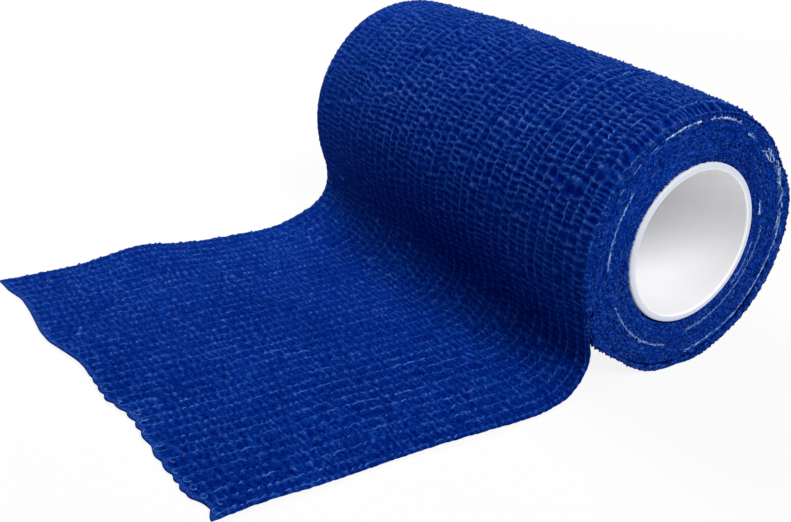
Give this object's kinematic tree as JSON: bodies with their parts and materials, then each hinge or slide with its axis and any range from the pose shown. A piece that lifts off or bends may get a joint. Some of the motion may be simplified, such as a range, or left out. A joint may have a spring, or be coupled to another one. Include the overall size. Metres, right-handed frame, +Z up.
{
  "type": "elastic hand wrap roll",
  "caption": "Self-gripping elastic hand wrap, a wide crinkled strip wound on an open tube core and partly unrolled, with a free tail that lifts and stretches.",
  "frame": {"origin": "on the floor under the middle of the roll's axis, in the middle of the flat that the roll stands on", "axes": "+X along the roll's axis, +Z up, -Y from the roll towards the free cut end of the wrap"},
  "size_m": [0.1, 0.1333, 0.0535],
  "materials": {
    "wrap": "matte crinkled crepe",
    "core": "smooth white"
  },
  "bodies": {
    "wrap_outer": {"outer_turn": "wrap"},
    "roll": {"wound_turns": "wrap"},
    "core": {"core_tube": "core"},
    "tail": {"tail": "wrap"},
    "tail_end": {"tail_end": "wrap"}
  },
  "joints": [
    {"name": "roll_turn", "type": "hinge", "parent": "wrap_outer", "child": "roll", "pos_m": [0, 0, 0.0265], "axis": [1, 0, 0], "continuous": true},
    {"name": "core_push_out", "type": "slide", "parent": "roll", "child": "core", "axis": [1, 0, 0], "range_m": [-0.103, 0.103]},
    {"name": "tail_lift", "type": "hinge", "parent": "wrap_outer", "child": "tail", "pos_m": [0, -0.03748, 0.0005], "axis": [-1, 0, 0], "range_deg": [0, 100]},
    {"name": "tail_stretch", "type": "slide", "parent": "tail", "child": "tail_end", "axis": [0, -1, 0], "range_m": [0, 0.053], "stiffness_N_per_m": 100, "deforming": ["tail"]}
  ]
}
